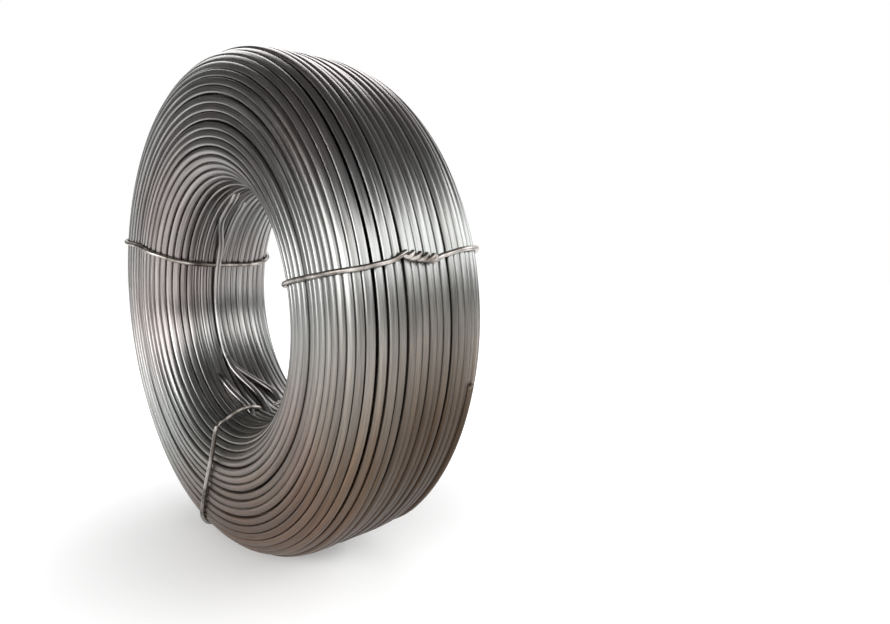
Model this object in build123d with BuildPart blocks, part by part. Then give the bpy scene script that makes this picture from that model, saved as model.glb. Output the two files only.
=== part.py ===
from build123d import *
from math import cos, pi, radians, sin
import os

# A coil of bright steel wire rod, standing on its rim with its eye along Y, its front face towards -Y
# and the floor at Z = 0, held together by three thinner tie wires.

# The coil
outer_diameter = 700
bore_diameter = 330
coil_width = 205
rod_diameter = 10
rod_spacing = 10.3          # between the middles of two turns, a little more than the rod
rim_corner_radius = 58      # of the wound section's corners on the rim, over the crests of the turns
bore_corner_radius = 68     # and of those at the two mouths of the bore
groove_depth = 3            # from the crest of a turn down to the valley beside it

# The tie wires
tie_diameter = 6
tie_sides = 6               # flats round a tie, few because it is thin
tie_seat = 0.3              # from a tie down to the crests that it is pulled against
twist_length = 34           # where the two ends of a tie are wound round each other
twist_turns = 1.5
steps_a_turn = 6            # straight runs in one turn of the winding
twist_radius = 3.6          # from the middle of the winding to the middle of either end
loose_bend_radius = 12      # inside a tie where it stands off the mouth of the bore
slack_bend_radius = 30      # inside a tie where it first meets the wall of the bore

section_height = (outer_diameter - bore_diameter) / 2
middle_radius = (outer_diameter + bore_diameter) / 4
eye_height = outer_diameter / 2

# A face of the coil keeps room for a tie's twist between its two corners
roundest_corner = (section_height - twist_length) / 2 - tie_diameter
rim_corner = min(rim_corner_radius, roundest_corner)
mouth_corner = min(bore_corner_radius, roundest_corner)

# The coil is one turned solid. The middles of its outermost turns lie on one line round its section.
with BuildSketch(Plane.XY) as middles:
    Rectangle(section_height - rod_diameter, coil_width - rod_diameter)
    fillet(middles.vertices().group_by(Axis.X)[0], mouth_corner - rod_diameter / 2)
    fillet(middles.vertices().group_by(Axis.X)[-1], rim_corner - rod_diameter / 2)
around = middles.wire()
turns = round(around.length / rod_spacing)

def profile_point(step):
    """Even steps are the crests of the turns and odd steps the valleys between them."""
    share = step / (2 * turns)
    middle, along = around.position_at(share), around.tangent_at(share)
    outward = Vector(along.Y, -along.X)
    if outward.dot(middle) < 0:
        outward = -outward
    depth = groove_depth if step % 2 else 0
    return middle + outward * (rod_diameter / 2 - depth) + Vector(middle_radius, 0)

with BuildPart() as wire_coil:
    with BuildSketch(Plane.XY):
        with BuildLine():
            Polyline(*[profile_point(step) for step in range(2 * turns)], close=True)
        make_face()
    revolve(axis=Axis.Y)

def corner(side, end, angle):
    """A corner of a tie's loop, on the rim (1) or in the bore (-1), at the front (-1), at the rear (1)
    or that share of the way from the middle towards them, and so many degrees round the eye."""
    off = tie_seat + tie_diameter / 2
    reach = middle_radius + side * (section_height / 2 + off)
    turn = radians(angle)
    return Vector(reach * cos(turn), end * (coil_width / 2 + off), reach * sin(turn))

def tie_wire(corners, radii, twist_at):
    """One wire drawn tight round the section, through its corners in order. Its two ends meet on the
    span from the last corner to the first, that share of the way along, and wind round each other."""
    off = tie_seat + tie_diameter / 2
    span = corners[0] - corners[-1]
    middle = corners[-1] + span * twist_at
    along = span.normalized()
    outward = Vector(middle.X, 0, middle.Z) if abs(span.Y) > coil_width / 2 else Vector(0, middle.Y, 0)
    outward = (outward - along * outward.dot(along)).normalized()
    sideways = along.cross(outward)

    def wound_end(start):
        """The points of one end, which starts that many steps of the winding round from the other."""
        steps = range(round(twist_turns * steps_a_turn) + 1)
        turns_gone = [(step + start) * 2 * pi / steps_a_turn for step in steps]
        return [middle + outward * twist_radius + along * twist_length * (step / steps[-1] - 0.5)
                + (outward * sin(gone) + sideways * cos(gone)) * twist_radius
                for step, gone in zip(steps, turns_gone)]

    first_end, last_end = wound_end(0), wound_end(steps_a_turn / 2)
    with BuildPart() as tie:
        with BuildLine() as path:
            Polyline(*first_end)
            FilletPolyline(first_end[-1], *corners, last_end[0], radius=[radius + off for radius in radii])
            Polyline(*last_end)
        with BuildSketch(Plane(origin=path.wire() @ 0, z_dir=path.wire() % 0)):
            RegularPolygon(tie_diameter / 2, tie_sides)
        sweep(path=path.wire(), transition=Transition.RIGHT)
    return tie

tie_wire_left = tie_wire(
    [corner(-1, 1, 161.5), corner(-1, -1, 159.3), corner(1, -1, 163.9), corner(1, 1, 163)],
    [mouth_corner, mouth_corner, rim_corner, rim_corner], 0.5)
tie_wire_right = tie_wire(
    [corner(1, 1, 14.2), corner(-1, 1, 12.5), corner(-1, -1, 12.6), corner(1, -1, 11)],
    [rim_corner, mouth_corner, mouth_corner, rim_corner], 0.415)
tie_wire_lower = tie_wire(
    [corner(-1, 1, 254), corner(-1, -0.5, 259), corner(-1, -1, 275), corner(1, -1, 259.5), corner(1, 1, 257)],
    [mouth_corner, slack_bend_radius, loose_bend_radius, rim_corner, rim_corner], 0.5)

os.makedirs("parts", exist_ok=True)
pieces = {"wire_coil": wire_coil, "tie_wire_left": tie_wire_left,
          "tie_wire_right": tie_wire_right, "tie_wire_lower": tie_wire_lower}
for name, piece in pieces.items():
    piece.part = Pos(0, 0, eye_height) * piece.part
    piece.part.label = name
    export_step(piece.part, f"parts/{name}.step")
    print(name, round(piece.part.volume), len(piece.part.faces()), piece.part.is_valid, len(piece.part.solids()))
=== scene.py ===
import random
from math import atan2, cos, pi, radians, sin

import bmesh
import bpy
from mathutils import Matrix, Vector


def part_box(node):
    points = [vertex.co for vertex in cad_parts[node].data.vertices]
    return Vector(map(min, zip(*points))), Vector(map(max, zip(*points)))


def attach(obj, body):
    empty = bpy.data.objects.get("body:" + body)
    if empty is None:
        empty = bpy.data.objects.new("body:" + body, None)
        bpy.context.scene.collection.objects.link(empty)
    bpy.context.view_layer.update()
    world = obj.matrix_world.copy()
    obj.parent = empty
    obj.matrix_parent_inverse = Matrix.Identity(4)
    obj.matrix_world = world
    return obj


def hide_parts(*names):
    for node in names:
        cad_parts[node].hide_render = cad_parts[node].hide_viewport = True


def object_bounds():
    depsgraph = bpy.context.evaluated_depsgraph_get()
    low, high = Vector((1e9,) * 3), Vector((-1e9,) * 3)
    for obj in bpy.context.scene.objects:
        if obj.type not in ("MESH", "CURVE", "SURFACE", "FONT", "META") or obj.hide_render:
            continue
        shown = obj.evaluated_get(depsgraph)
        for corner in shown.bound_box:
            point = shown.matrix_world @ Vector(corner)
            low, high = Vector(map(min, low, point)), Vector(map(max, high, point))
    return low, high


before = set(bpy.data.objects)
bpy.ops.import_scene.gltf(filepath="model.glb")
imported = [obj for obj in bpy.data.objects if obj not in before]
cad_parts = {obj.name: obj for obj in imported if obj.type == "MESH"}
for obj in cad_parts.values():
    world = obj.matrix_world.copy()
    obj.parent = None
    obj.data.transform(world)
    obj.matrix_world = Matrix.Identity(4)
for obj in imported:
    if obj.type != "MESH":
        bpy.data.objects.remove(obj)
cad_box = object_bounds()

# The coil is one 10 mm steel rod, drawn bright and wound layer on layer. It stands on its rim, so the
# eye that the turns are wound round lies level, along Y. The second layer comes first: its turns rest
# in the valleys between the outer ones and show only where two of those have parted.
coil_low, coil_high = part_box("wire_coil")
outer_radius = (coil_high.z - coil_low.z) / 2
coil_width = coil_high.y - coil_low.y
eye = Vector((0, 0, coil_low.z + outer_radius))
bore_radius = 0.165
rim_corner = 0.058          # of the wound section, over the crests of the turns
bore_corner = 0.068
rod = 0.010
round_rod = 2.0             # the squareness of a rod that is truly round
second_depth = rod / 2 + rod * 0.87     # where a turn rests that lies between two touching ones
second_spacing = rod * 0.97
second_sides = 8
second_steps = 120


def on_section(along, depth):
    """A point of the wound section as (radius, y), so deep under its crests, and the way out from it.
    It is counted along the section from the front face at the bore, out over the face, over the rim
    and back through the bore."""
    height, width = outer_radius - bore_radius - 2 * depth, coil_width - 2 * depth
    rim_bend, bore_bend = rim_corner - depth, bore_corner - depth
    face_run = height - rim_bend - bore_bend
    legs = [(face_run, rim_bend), (width - 2 * rim_bend, rim_bend),
            (face_run, bore_bend), (width - 2 * bore_bend, bore_bend)]
    place = Vector((bore_radius + depth + bore_bend, -width / 2))
    heading = Vector((1, 0))
    along %= sum(run + bend * pi / 2 for run, bend in legs)
    for run, bend in legs:
        left = Vector((-heading.y, heading.x))
        if along < run:
            return place + heading * along, -left
        place += heading * run
        along -= run
        if along < bend * pi / 2:
            turned = Matrix.Rotation(along / bend, 2)
            return place + left * bend - turned @ (left * bend), turned @ -left
        place += (heading + left) * bend
        along -= bend * pi / 2
        heading = left
    return place, Vector((0, -1))


def way_round(depth):
    """The length once round the section at that depth."""
    height, width = outer_radius - bore_radius - 2 * depth, coil_width - 2 * depth
    return 2 * (height + width) - (4 - pi) * (rim_corner + bore_corner - 2 * depth)


def lay_turns(turns, sides, steps, start_angle=0.0, sweep_angle=2 * pi):
    """Turns of the rod, each one outline spun about the eye, then let in by sink(angle) and pushed
    along the section by stray(angle). Turns drawn tight on each other look squarer than round. The
    skin layer keeps which way a point of a rod faces, with the turn's tone as its third."""
    bm = bmesh.new()
    skin = bm.verts.layers.float_vector.new("skin")
    number = bm.verts.layers.int.new("number")
    for index, (centre, out, sink, stray, tone, squareness) in enumerate(turns):
        for vert in bmesh.ops.create_circle(bm, segments=sides, radius=1.0)["verts"]:
            side, crest = vert.co.x, vert.co.y
            reach = rod / 2 / (abs(side) ** squareness + abs(crest) ** squareness) ** (1 / squareness)
            offset = (out * crest + Vector((-out.y, out.x)) * side) * reach
            vert.co = (centre.x + offset.x, centre.y + offset.y, eye.z)
            vert[skin] = (side, crest, tone)
            vert[number] = index
    if start_angle:
        bmesh.ops.rotate(bm, verts=bm.verts, cent=eye, matrix=Matrix.Rotation(-start_angle, 3, "Y"))
    whole = sweep_angle >= 2 * pi
    bmesh.ops.spin(bm, geom=bm.verts[:] + bm.edges[:], cent=eye, axis=(0, -1, 0), dvec=(0, 0, 0),
                   angle=sweep_angle, steps=steps, use_merge=whole)
    if not whole:
        bmesh.ops.holes_fill(bm, edges=bm.edges[:], sides=sides)
    for vert in bm.verts:
        centre, out, sink, stray = turns[vert[number]][:4]
        angle = atan2(vert.co.z - eye.z, vert.co.x) % (2 * pi)
        shift = Vector((-out.y, out.x)) * stray(angle) - out * sink(angle)
        vert.co += Vector((cos(angle) * shift.x, shift.y, sin(angle) * shift.x))
    return bm


def finish_mesh(name, bm, material, node):
    """Merges the mesh, turns its faces outwards and makes it a piece of the coil's one body."""
    bmesh.ops.remove_doubles(bm, verts=bm.verts, dist=1e-6)
    bmesh.ops.recalc_face_normals(bm, faces=bm.faces)
    for face in bm.faces:
        face.smooth = True
    mesh = bpy.data.meshes.new(name)
    bm.to_mesh(mesh)
    bm.free()
    piece = bpy.data.objects.new(name, mesh)
    bpy.context.scene.collection.objects.link(piece)
    mesh.materials.append(material)
    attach(piece, "root")
    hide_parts(node)


def drawn_steel():
    """Bright drawn steel: grey with fine lines along the rod, a tone of its own for each turn, and
    brown over the lower third: partly thin rust, partly painted shade and a painted reflection of a brown
    floor."""
    material = bpy.data.materials.new("drawn_steel")
    material.use_nodes = True
    nodes, links = material.node_tree.nodes, material.node_tree.links
    shader = nodes["Principled BSDF"]
    shader.inputs["Metallic"].default_value = 1.0
    where = nodes.new("ShaderNodeTexCoord")
    skin = nodes.new("ShaderNodeAttribute")
    skin.attribute_name = "skin"

    def three_of(vector):
        node = nodes.new("ShaderNodeSeparateXYZ")
        links.new(vector, node.inputs[0])
        return [node.outputs[axis] for axis in "XYZ"]

    def math(operation, a, b=0.0, clamp=False):
        node = nodes.new("ShaderNodeMath")
        node.operation = operation
        node.use_clamp = clamp
        for socket, value in zip(node.inputs, (a, b)):
            if isinstance(value, (int, float)):
                socket.default_value = value
            else:
                links.new(value, socket)
        return node.outputs[0]

    def ramp(factor, *stops):
        node = nodes.new("ShaderNodeValToRGB")
        for _ in stops[2:]:
            node.color_ramp.elements.new(0.5)
        for element, (position, colour) in zip(node.color_ramp.elements, stops):
            element.position = position
            element.color = (*colour, 1)
        links.new(factor, node.inputs[0])
        return node.outputs["Color"]

    def mix(kind, factor, a, b):
        node = nodes.new("ShaderNodeMix")
        node.data_type = "RGBA"
        node.blend_type = kind
        for name, value in (("Factor", factor), ("A", a), ("B", b)):
            if isinstance(value, (int, float)):
                node.inputs[name].default_value = value
            elif isinstance(value, tuple):
                node.inputs[name].default_value = (*value, 1)
            else:
                links.new(value, node.inputs[name])
        return node.outputs["Result"]

    side, crest, tone = three_of(skin.outputs["Vector"])
    x, y, z = three_of(where.outputs["Object"])
    own_marks = math("MULTIPLY", tone, 37.0)    # far enough apart that no two turns show the same

    def streaks(along, across, detail):
        """Noise drawn out along the rod, so many times a metre along it and a radius across it."""
        vector = nodes.new("ShaderNodeCombineXYZ")
        links.new(math("MULTIPLY", x, along), vector.inputs["X"])
        links.new(math("MULTIPLY", z, along), vector.inputs["Y"])
        links.new(math("MULTIPLY", side, across), vector.inputs["Z"])
        noise = nodes.new("ShaderNodeTexNoise")
        noise.noise_dimensions = "4D"
        noise.inputs["Scale"].default_value = 1.0
        noise.inputs["Detail"].default_value = detail
        links.new(vector.outputs[0], noise.inputs["Vector"])
        links.new(math("ADD", math("MULTIPLY", crest, across), own_marks), noise.inputs["W"])
        return noise.outputs["Fac"]

    long_marks = streaks(along=9, across=0.8, detail=3)
    fine_lines = streaks(along=20, across=6, detail=2)
    grey = ramp(long_marks, (0.3, (0.22, 0.218, 0.215)), (0.5, (0.30, 0.298, 0.295)),
                (0.7, (0.37, 0.367, 0.363)))
    lined = mix("MULTIPLY", 0.6, grey, ramp(fine_lines, (0.38, (0.5, 0.49, 0.48)), (0.6, (1, 1, 1))))
    toned = mix("MULTIPLY", 0.8, lined, ramp(tone, (0, (0.72, 0.71, 0.70)), (1, (1, 1, 1))))

    clouds = nodes.new("ShaderNodeTexNoise")
    clouds.inputs["Scale"].default_value = 4.0
    clouds.inputs["Detail"].default_value = 2.0
    links.new(where.outputs["Object"], clouds.inputs["Vector"])
    bloom = ramp(clouds.outputs["Fac"], (0.42, (0.97, 1.0, 0.99)), (0.52, (1, 0.98, 0.975)),
                 (0.64, (1.0, 0.90, 0.89)))
    tinged = mix("MULTIPLY", 1.0, toned, bloom)

    # The brown film is partly thin rust and partly painted shade with a painted reflection of a brown floor.
    # It starts on a slope, lower on the left than on the right, and painted shade makes it darkest low on the
    # rim
    slope = math("ADD", math("MULTIPLY", x, 0.55), math("SUBTRACT", 0.35, z))
    low = math("MULTIPLY", math("SUBTRACT", slope, 0.12), 4.8, clamp=True)
    rust_and_shade_film = math("MULTIPLY", low, math("ADD", long_marks, 0.45), clamp=True)
    rusted_and_shaded = mix("MIX", rust_and_shade_film, tinged, mix("MULTIPLY", 1.0, tinged, (0.54, 0.38, 0.265)))
    # Painted shade: darker still low on the rim and towards the rear
    past_the_front = math("MULTIPLY", math("ADD", y, 0.085), 14.0, clamp=True)
    far_down = math("MULTIPLY", math("SUBTRACT", slope, 0.15), 7.0, clamp=True)
    painted_rim_shade = math("MULTIPLY", past_the_front, far_down, clamp=True)
    links.new(mix("MULTIPLY", painted_rim_shade, rusted_and_shaded, (0.42, 0.35, 0.29)), shader.inputs["Base Color"])
    links.new(math("SUBTRACT", 1.0, math("MULTIPLY", rust_and_shade_film, 0.25)), shader.inputs["Metallic"])

    rough = math("ADD", 0.22, math("MULTIPLY", fine_lines, 0.14))
    links.new(math("ADD", rough, math("MULTIPLY", rust_and_shade_film, 0.16)), shader.inputs["Roughness"])
    bump = nodes.new("ShaderNodeBump")
    bump.inputs["Strength"].default_value = 0.12
    bump.inputs["Distance"].default_value = 0.0006
    links.new(fine_lines, bump.inputs["Height"])
    links.new(bump.outputs[0], shader.inputs["Normal"])
    return material


def stay(angle):
    """A turn that lies where it was wound, all the way round."""
    return 0.0


steel = drawn_steel()
draw = random.Random(11)

second_turns = round(way_round(second_depth) / second_spacing)
turns = []
for turn in range(second_turns):
    centre, out = on_section(turn / second_turns * way_round(second_depth), second_depth)
    turns.append((centre, out, stay, stay, draw.random() * 0.5, round_rod))
finish_mesh("turns_beneath", lay_turns(turns, second_sides, second_steps), steel, "wire_coil")

# The outer layer has one turn for each crest of the solid coil, 14 to 17 on each face, on the rim and
# in the bore. They aren't quite even: a few have parted from their neighbours and left a dark groove,
# and some have sunk a little between them.
outer_turns = 62
rod_sides = 16
steps_round = 200
parted_at = {0.019: 2.2, 0.035: 0.6, 0.056: 2.0, 0.117: 2.2, 0.126: 1.2, 0.150: 3.0, 0.185: 0.6, 0.222: 3.2,
             0.335: 1.0, 0.410: 1.0, 0.480: 0.8, 0.555: 1.0, 0.600: 0.5, 0.661: 1.0}
least_gap = 0.01            # in the same shares of the slack as the wider ones above
level_share = 0.75          # of the turns, and the others have sunk
level_depths = (0.0, 0.0003)
sunk_depths = (0.0006, 0.0020)
most_wave = 0.0005
most_wander = 0.0004
squareness = (3.0, 7.0)     # between which each turn has its own


def wander(most):
    """How far a turn strays at each angle: a slow wave or two, between nothing and most."""
    first, second = draw.uniform(0, 2 * pi), draw.uniform(0, 2 * pi)
    share = draw.uniform(0.3, 0.7)
    return lambda angle: most / 2 * (1 + share * sin(angle + first) + (1 - share) * sin(2 * angle + second))


def let_in(sunk, most):
    """How far a turn lies in at each angle: a little at least, and a slow wave more."""
    wave = wander(most)
    return lambda angle: sunk + wave(angle)


def side_of(out):
    """The piece that a turn belongs to, by the way its place on the section faces."""
    if abs(out.y) > abs(out.x):
        return "turns_on_the_front" if out.y < 0 else "turns_on_the_back"
    return "turns_on_the_rim" if out.x > 0 else "turns_in_the_bore"


slack = way_round(rod / 2) - outer_turns * rod
parted = {round(place / way_round(0) * outer_turns): share for place, share in parted_at.items()}
gaps = [parted.get(turn, 0.0) + least_gap for turn in range(outer_turns)]
groups = {"turns_on_the_front": [], "turns_on_the_rim": [], "turns_on_the_back": [], "turns_in_the_bore": []}
along = 0
for turn in range(outer_turns):
    along += slack * gaps[turn] / sum(gaps)
    centre, out = on_section(along, rod / 2)
    sunk = draw.uniform(*(level_depths if draw.random() < level_share else sunk_depths))
    groups[side_of(out)].append((centre, out, let_in(sunk, most_wave), wander(most_wander), draw.random(),
                                 draw.uniform(*squareness)))
    along += rod
for name, turns in groups.items():
    finish_mesh(name, lay_turns(turns, rod_sides, steps_round), steel, "wire_coil")

# A few loose turns of the same rod cross over the others and the ties on the wall of the bore, and lie
# under them elsewhere.
buried = 0.012


def eased(share):
    """From 0 to 1 with a soft start and end."""
    share = max(0.0, min(1.0, share))
    return share * share * (3 - 2 * share)


def shown(first, last, proud):
    """How far a turn is let in: buried, but proud by that much between the two angles, in degrees."""
    first, last, ease = radians(first), radians(last), radians(22)
    return lambda angle: buried - (buried + proud) * min(eased((angle - first) / ease),
                                                         eased((last - angle) / ease))


def astray(*stations):
    """How far along the section a turn has strayed at each angle, in millimetres at those degrees."""
    def stray(angle):
        degrees = angle * 180 / pi
        for (at, off), (next_at, next_off) in zip(stations, stations[1:]):
            if degrees < next_at:
                return (off + (next_off - off) * eased((degrees - at) / (next_at - at))) / 1000
        return stations[-1][1] / 1000
    return stray


loose = []
for place, first, last, proud, stations in (
        (0.519, 90, 266, 0.0080, ((0, 19), (101, 19), (127, 14), (152, 0), (213, 2), (248, -43), (360, 19))),
        (0.512, 100, 178, 0.0040, ((0, 0), (140, 0), (180, 8), (360, 0))),
        (0.519, 196, 276, 0.0090, ((0, 11), (192, 11), (219, 1), (246, -15), (265, -9), (360, 11))),
        (0.541, 212, 274, 0.0080, ((0, 0), (229, 0), (252, -7), (360, 0)))):
    centre, out = on_section(place, rod / 2)
    loose.append((centre, out, shown(first, last, proud), astray(*stations), draw.uniform(0.6, 1.0), round_rod))
finish_mesh("loose_turns", lay_turns(loose, rod_sides, steps_round), steel, "wire_coil")

# The rod's last turn comes up between the others on the rear corner of the rim, and shows its sawn end
# there.
end_place = 0.249
end_from, end_sweep, end_rise = radians(286), radians(61), radians(26)
end_proud = 0.0035
end_tone = 0.9
end_steps = 40


def coming_up(angle):
    """How far the last turn is let in, less and less towards its end."""
    return buried * (1 - eased((angle - end_from) / end_rise)) - end_proud


centre, out = on_section(end_place, rod / 2)
last_turn = [(centre, out, coming_up, stay, end_tone, round_rod)]
finish_mesh("sawn_end", lay_turns(last_turn, rod_sides, end_steps, end_from, end_sweep),
            steel, "wire_coil")

# Three tie wires of 6 mm soft steel hold the turns together. Each is drawn tight round the section,
# and its two ends are twisted round each other and cut off a little past the winding.
tie = 0.006
tie_seat = 0.0002
tie_depth = -tie_seat - tie / 2
route_step = 0.012          # between two points of a tie's route, about
twist_turns = 2
twist_steps = 8             # points in one turn of the winding
twist_radius = 0.0034
past_the_twist = 0.004      # where an end is cut off


def tie_steel():
    """Softer, paler wire with a dull skin and darker spots."""
    material = bpy.data.materials.new("tie_steel")
    material.use_nodes = True
    nodes, links = material.node_tree.nodes, material.node_tree.links
    shader = nodes["Principled BSDF"]
    shader.inputs["Metallic"].default_value = 1.0
    shader.inputs["Roughness"].default_value = 0.34
    where = nodes.new("ShaderNodeTexCoord")
    noise = nodes.new("ShaderNodeTexNoise")
    noise.inputs["Scale"].default_value = 60
    noise.inputs["Detail"].default_value = 3
    links.new(where.outputs["Object"], noise.inputs["Vector"])
    ramp = nodes.new("ShaderNodeValToRGB")
    dark, pale = ramp.color_ramp.elements
    dark.position, dark.color = 0.40, (0.15, 0.13, 0.115, 1)
    pale.position, pale.color = 0.66, (0.47, 0.44, 0.41, 1)
    links.new(noise.outputs["Fac"], ramp.inputs[0])
    links.new(ramp.outputs["Color"], shader.inputs["Base Color"])
    return material


def round_the_eye(radius, y, degrees):
    """A point at that radius and angle round the eye, from +X towards +Z."""
    turn = radians(degrees)
    return Vector((radius * cos(turn), y, eye.z + radius * sin(turn)))


def drawn_over(*stations):
    """Points of a tie that lies on the crests. A station is how far round the section it is, in metres
    from the front face at the bore, and the degrees round the eye."""
    points = []
    for (along, degrees), (next_along, next_degrees) in zip(stations, stations[1:]):
        count = max(1, round((next_along - along) / route_step))
        for step in range(count):
            share = step / count
            spot, out = on_section(along + (next_along - along) * share, tie_depth)
            points.append(round_the_eye(spot.x, spot.y, degrees + (next_degrees - degrees) * share))
    return points


def twisted(route, first, last, outward):
    """The tie's whole line: its route, with its two ends wound round each other between the two points
    and then cut off a little past the winding."""
    along = last - first
    ahead = along.normalized()
    outward = (outward - ahead * outward.dot(ahead)).normalized()
    sideways = ahead.cross(outward)

    def winding(start):
        line = []
        for step in range(twist_turns * twist_steps + 1):
            share = step / (twist_turns * twist_steps)
            gone = start + share * twist_turns * 2 * pi
            line.append(first + along * share + outward * twist_radius
                        + (outward * sin(gone) + sideways * cos(gone)) * twist_radius)
        return line

    leaving, coming = winding(0.0), winding(pi)
    hook = ahead * past_the_twist
    first_tip = leaving[0] - hook * 0.6 - sideways * 0.003
    last_tip = [coming[-1] + hook + sideways * 0.001,
                coming[-1] + hook * 1.4 + sideways * 0.006 - outward * 0.001]
    return [first_tip] + leaving + route + coming + last_tip


def bent_wire(name, points, thickness):
    """A wire bent through the points, as a mesh to work on."""
    curve = bpy.data.curves.new(name, "CURVE")
    curve.dimensions = "3D"
    spline = curve.splines.new("NURBS")
    spline.points.add(len(points) - 1)
    for spot, point in zip(spline.points, points):
        spot.co = (*point, 1)
    spline.order_u = 4
    spline.use_endpoint_u = True
    spline.resolution_u = 4
    curve.bevel_depth = thickness / 2
    curve.bevel_resolution = 3
    curve.use_fill_caps = True
    shaped = bpy.data.objects.new(name + "_path", curve)
    bpy.context.scene.collection.objects.link(shaped)
    bpy.context.view_layer.update()
    bm = bmesh.new()
    bm.from_mesh(bpy.data.meshes.new_from_object(shaped))
    bpy.data.objects.remove(shaped)
    return bm


def on_the_rear(radius, degrees):
    """A point of a tie that lies on the rear face."""
    return round_the_eye(radius, coil_width / 2 - tie_depth, degrees)


def on_the_rim(y, degrees):
    """A point of a tie that lies on the rim."""
    return round_the_eye(outer_radius - tie_depth, y, degrees)


right_route = drawn_over((0.204, 12.2), (0.244, 13.5), (0.292, 14.2), (0.341, 14.0), (0.400, 13.2),
                         (0.512, 12.5), (0.581, 12.6), (0.630, 12.8), (0.6926, 12.4), (0.752, 11.6),
                         (0.800, 11.3), (0.836, 12.0), (0.845, 12.5))
left_route = drawn_over((0.394, 161.5), (0.456, 161.3), (0.512, 161.0), (0.560, 160.6), (0.600, 159.6),
                        (0.650, 158.6), (0.6926, 159.2), (0.752, 162.2), (0.800, 163.5), (0.937, 163.4),
                        (1.033, 163.0), (1.037, 163.0))
# The lower tie dips between the turns where loose ones cross it, stands off the mouth of the bore and
# runs askew over the face
lower_route = drawn_over((0.394, 255.0), (0.456, 254.6), (0.500, 255.0))
lower_route += [round_the_eye(*place) for place in (
    (0.1650, 0.024, 255.4), (0.1690, 0.009, 256.0), (0.1680, -0.006, 256.7), (0.1605, -0.019, 257.5),
    (0.1587, -0.030, 257.9), (0.1587, -0.044, 258.6), (0.1587, -0.060, 262.0), (0.1585, -0.075, 266.3),
    (0.1580, -0.090, 271.6), (0.1575, -0.1015, 275.3), (0.1610, -0.1050, 276.0), (0.1690, -0.1056, 274.6),
    (0.1850, -0.1057, 272.2), (0.2100, -0.1057, 269.2))]
lower_route += drawn_over((0.6926, 266.2), (0.722, 263.6), (0.752, 262.0), (0.800, 258.0), (0.848, 254.8),
                          (0.937, 254.5), (1.000, 256.0), (1.037, 256.6))

tie_material = tie_steel()
left_ends = on_the_rear(0.2775, 163.0), on_the_rear(0.2405, 161.9)
right_ends = on_the_rim(-0.043, 12.8), on_the_rim(-0.005, 11.9)
lower_ends = on_the_rear(0.2775, 256.3), on_the_rear(0.2405, 255.4)
off_the_rear = Vector((0, 1, 0))
off_the_rim = (right_ends[0] + right_ends[1]) / 2 - eye
off_the_rim.y = 0
for name, route, ends, outward in (("tie_wire_left", left_route, left_ends, off_the_rear),
                                   ("tie_wire_right", right_route, right_ends, off_the_rim),
                                   ("tie_wire_lower", lower_route, lower_ends, off_the_rear)):
    wire = bent_wire(name, twisted(route, *ends, outward), tie)
    finish_mesh(name + "_bent", wire, tie_material, name)

# Plain pale floor under the coil. It keeps the coil's shadow, and fades to the white of the backdrop
# away from it.
floor_reach = 6.0
floor_mesh = bpy.data.meshes.new("floor")
bm = bmesh.new()
bmesh.ops.create_grid(bm, x_segments=1, y_segments=1, size=floor_reach,
                      matrix=Matrix.Translation((0, 0, cad_box[0].z)))
bm.to_mesh(floor_mesh)
bm.free()
floor = bpy.data.objects.new("floor", floor_mesh)
bpy.context.scene.collection.objects.link(floor)


def joined(tree, operation, first, second):
    """A Math node on two outputs of the tree."""
    node = tree.nodes.new("ShaderNodeMath")
    node.operation = operation
    tree.links.new(first, node.inputs[0])
    tree.links.new(second, node.inputs[1])
    return node.outputs[0]


def faded(tree, value, start, end, low=0.0, high=1.0):
    """From low to high, softly, as the value goes from start to end."""
    node = tree.nodes.new("ShaderNodeMapRange")
    node.interpolation_type = "SMOOTHSTEP"
    for name, number in (("From Min", start), ("From Max", end), ("To Min", low), ("To Max", high)):
        node.inputs[name].default_value = number
    tree.links.new(value, node.inputs["Value"])
    return node.outputs[0]


paper = bpy.data.materials.new("pale_floor")
paper.use_nodes = True
tree = paper.node_tree
shader = tree.nodes["Principled BSDF"]
shader.inputs["Base Color"].default_value = (0.8, 0.8, 0.8, 1)
shader.inputs["Roughness"].default_value = 1.0
shader.inputs["Specular IOR Level"].default_value = 0.0
rays = tree.nodes.new("ShaderNodeLightPath")
seen = joined(tree, "MAXIMUM", rays.outputs["Is Camera Ray"], rays.outputs["Is Glossy Ray"])
seen = joined(tree, "MAXIMUM", seen, rays.outputs["Is Transmission Ray"])
where = tree.nodes.new("ShaderNodeTexCoord")
away = tree.nodes.new("ShaderNodeVectorMath")
away.operation = "LENGTH"
tree.links.new(where.outputs["Object"], away.inputs[0])
whiter = faded(tree, away.outputs["Value"], start=0.05, end=0.9, low=0.21)
lift = joined(tree, "MULTIPLY", seen, whiter)
shader.inputs["Emission Color"].default_value = (1, 1, 1, 1)
tree.links.new(lift, shader.inputs["Emission Strength"])
floor_mesh.materials.append(paper)

# Studio: a dim room, white where the camera looks and where the steel mirrors the backdrop behind the
# coil, and five soft panels of light
room_light, backdrop_light = 0.14, 1.0
world = bpy.data.worlds.new("studio")
bpy.context.scene.world = world
world.use_nodes = True
tree = world.node_tree
background = tree.nodes["Background"]
rays = tree.nodes.new("ShaderNodeLightPath")
mirrored = joined(tree, "MAXIMUM", rays.outputs["Is Glossy Ray"], rays.outputs["Is Transmission Ray"])
towards = tree.nodes.new("ShaderNodeTexCoord")
behind = tree.nodes.new("ShaderNodeVectorMath")
behind.operation = "DOT_PRODUCT"
behind.inputs[1].default_value = (-0.72, 0.69, 0.0)
tree.links.new(towards.outputs["Generated"], behind.inputs[0])
backdrop = faded(tree, behind.outputs["Value"], start=0.55, end=0.75)
in_metal = joined(tree, "MULTIPLY", mirrored, backdrop)
seen = joined(tree, "MAXIMUM", rays.outputs["Is Camera Ray"], in_metal)
brightness = tree.nodes.new("ShaderNodeMix")
brightness.data_type = "FLOAT"
brightness.inputs["A"].default_value = room_light
brightness.inputs["B"].default_value = backdrop_light
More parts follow.
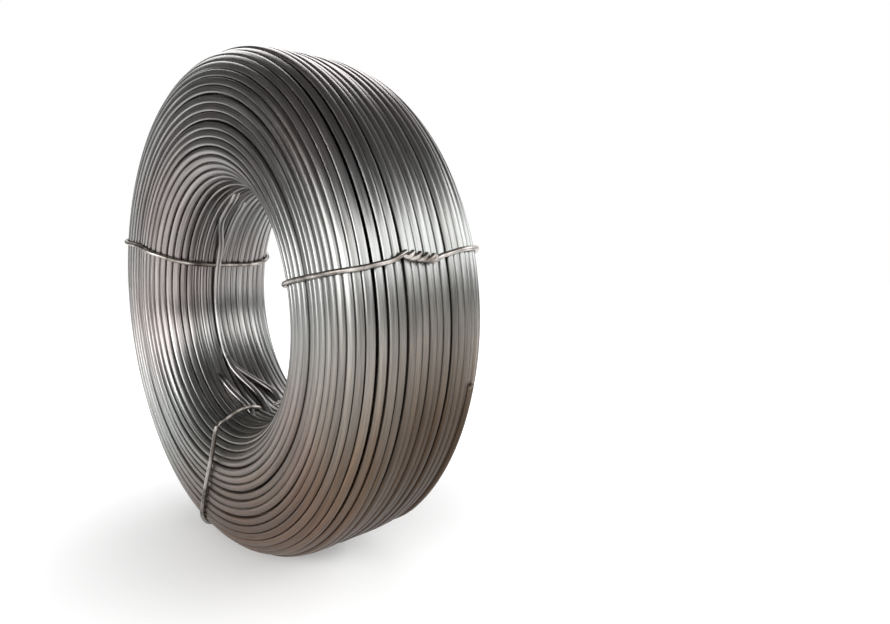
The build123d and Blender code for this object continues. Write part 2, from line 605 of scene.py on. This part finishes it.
tree.links.new(seen, brightness.inputs["Factor"])
tree.links.new(brightness.outputs["Result"], background.inputs["Strength"])
background.inputs["Color"].default_value = (1, 1, 1, 1)


def softbox(name, azimuth, elevation, distance, width, height, radiance):
    """A soft panel of light, turned to the coil's middle."""
    turn, lift = radians(azimuth), radians(elevation)
    back = Vector((sin(turn) * cos(lift), -cos(turn) * cos(lift), sin(lift)))
    light = bpy.data.lights.new(name, "AREA")
    light.shape = "RECTANGLE"
    light.size, light.size_y = width, height
    light.energy = radiance * pi * width * height
    lamp = bpy.data.objects.new(name, light)
    lamp.location = eye + back * distance
    lamp.rotation_mode = "QUATERNION"
    lamp.rotation_quaternion = back.to_track_quat("Z", "Y")
    lamp.visible_camera = False
    bpy.context.scene.collection.objects.link(lamp)


for side, azimuth, elevation, height, radiance in (
        ("left", -8, 9, 0.75, 8.6), ("front", 46, 21, 1.0, 3.4), ("right", 98, 22, 1.0, 4.0),
        ("far_right", 150, 22, 1.0, 4.0), ("rear", 240, 46, 1.0, 2.2)):
    softbox(side + "_softbox", azimuth, elevation, distance=2.4, width=2.1, height=height, radiance=radiance)

# The camera stands low in front and to the right, close to the coil
camera_azimuth, camera_elevation, camera_roll = radians(45.97), radians(6.6), radians(-0.5)
camera_distance, camera_right, camera_up = 0.968, 0.2505, -0.0116
back = Vector((sin(camera_azimuth) * cos(camera_elevation), -cos(camera_azimuth) * cos(camera_elevation),
               sin(camera_elevation)))
level = Vector((cos(camera_azimuth), sin(camera_azimuth), 0))
right = Matrix.Rotation(camera_roll, 3, back) @ level
up = back.cross(right)
lens = bpy.data.cameras.new("camera")
lens.lens = 26.65
lens.clip_start = 0.01
camera = bpy.data.objects.new("camera", lens)
camera.location = eye + back * camera_distance + right * camera_right + up * camera_up
camera.rotation_mode = "QUATERNION"
camera.rotation_quaternion = Matrix((right, up, back)).transposed().to_quaternion()
bpy.context.scene.collection.objects.link(camera)
bpy.context.scene.camera = camera
bpy.context.scene.view_settings.view_transform = "Standard"
